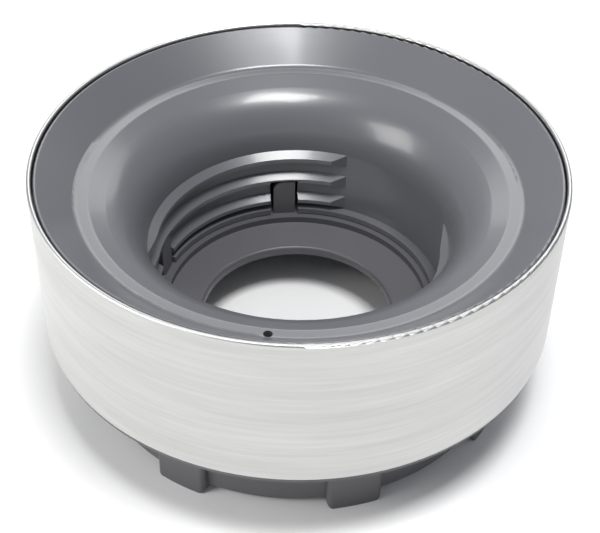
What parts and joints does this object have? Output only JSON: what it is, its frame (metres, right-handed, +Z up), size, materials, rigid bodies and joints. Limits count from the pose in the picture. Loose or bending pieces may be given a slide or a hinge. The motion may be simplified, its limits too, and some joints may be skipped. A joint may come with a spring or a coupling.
{
  "type": "blender jar base",
  "caption": "Round base of a blender jar: a dished plastic collar with a bayonet bore for the jar, a brushed steel band around it, and a base ring with a lugged skirt.",
  "frame": {"origin": "on the part's axis, in the plane of the lug feet it stands on", "axes": "+Z up along the axis of the bore, the way the jar leaves; -Y is the side nearest the camera in the picture"},
  "size_m": [0.15, 0.15, 0.073],
  "materials": {
    "band_steel": "brushed around",
    "collar_plastic": "glossy",
    "ring_plastic": "satin",
    "screw_steel": "zinc plated"
  },
  "bodies": {
    "root": {"steel_band": "band_steel", "dish_collar": "collar_plastic", "base_ring": "ring_plastic", "housing_screws": "screw_steel"}
  },
  "joints": []
}
